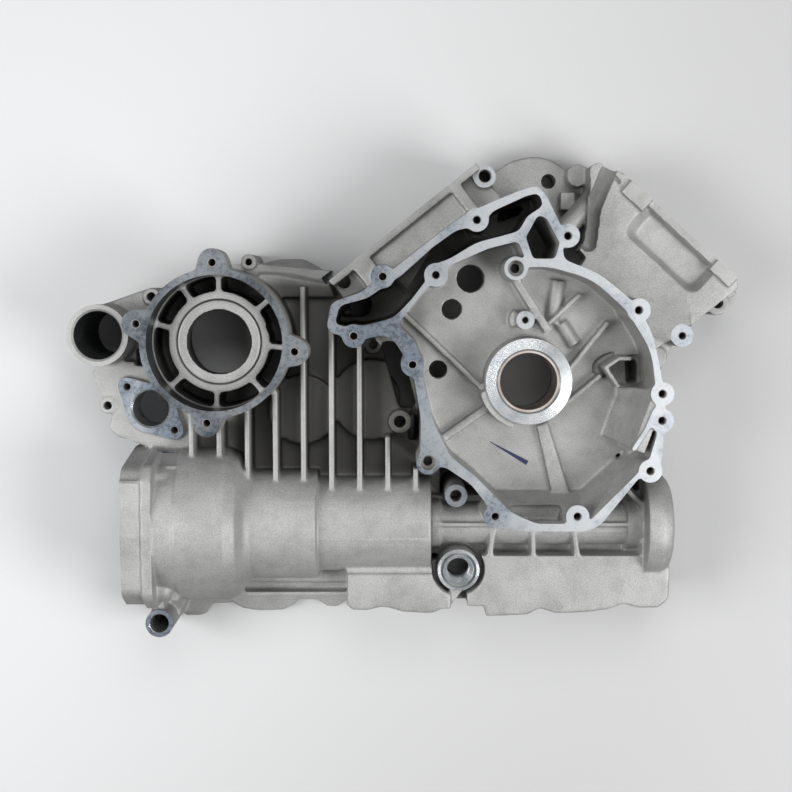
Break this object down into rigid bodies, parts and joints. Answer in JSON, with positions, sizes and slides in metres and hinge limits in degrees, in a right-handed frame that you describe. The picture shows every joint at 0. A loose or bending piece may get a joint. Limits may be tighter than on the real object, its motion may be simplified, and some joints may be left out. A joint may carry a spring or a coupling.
{
  "type": "crankcase half",
  "caption": "Cast crankcase half of a V-twin engine: magneto chamber, gearbox tower, finned wall, cylinder decks and shaft tunnel, with a pressed main bearing bush.",
  "frame": {"origin": "crankshaft axis on the split plane", "axes": "+Z along the crankshaft towards the magneto side, +X along the shaft tunnel, +Y towards the cylinders"},
  "size_m": [0.4841, 0.3472, 0.1051],
  "materials": {
    "cast_aluminium": "matt shot-blasted casting with milled faces",
    "bearing_metal": "smooth bored bearing metal"
  },
  "bodies": {
    "root": {"crankcase_casting": "cast_aluminium", "main_bearing_bush": "bearing_metal"}
  },
  "joints": []
}
